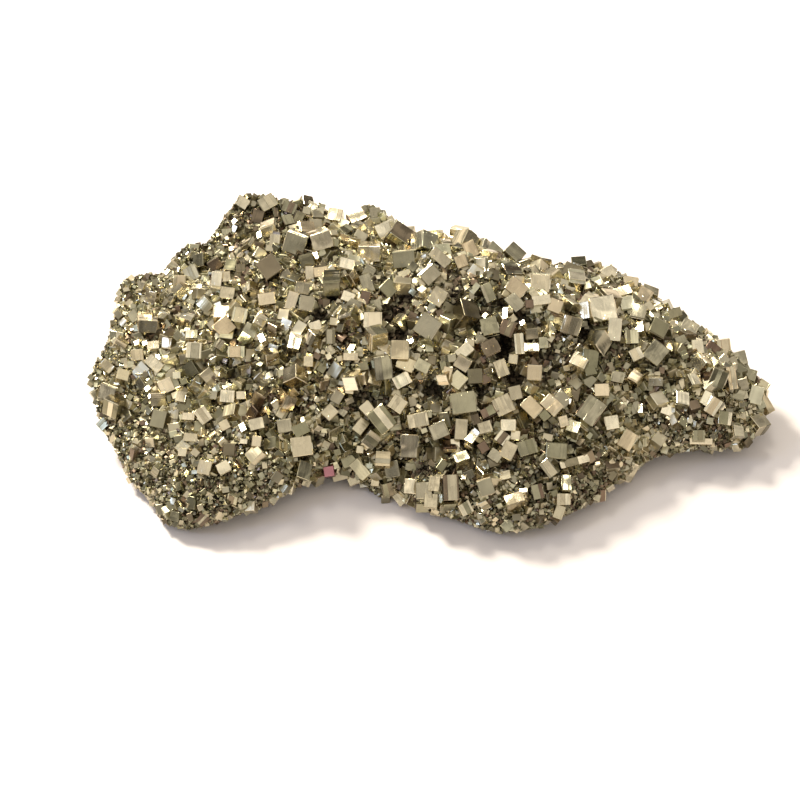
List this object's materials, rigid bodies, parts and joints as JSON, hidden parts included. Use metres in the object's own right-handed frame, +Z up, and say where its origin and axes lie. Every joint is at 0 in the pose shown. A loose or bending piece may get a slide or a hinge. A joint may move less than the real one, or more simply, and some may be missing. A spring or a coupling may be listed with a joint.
{
  "type": "pyrite specimen",
  "caption": "Hand specimen of pyrite: a low, irregular mound wholly covered with intergrown metallic cubes, which rests on its broken underside for display or study.",
  "frame": {"origin": "centre of the bounding box in plan, on the table that the specimen rests on", "axes": "+X along the length towards the narrow end, +Y to the back as the picture shows it, +Z up"},
  "size_m": [0.124, 0.0684, 0.0273],
  "materials": {
    "pyrite": "pale brassy metal, bright flat crystal faces with fine striations, dark olive in the hollows"
  },
  "bodies": {
    "root": {"pyrite_cluster": "pyrite"}
  },
  "joints": []
}
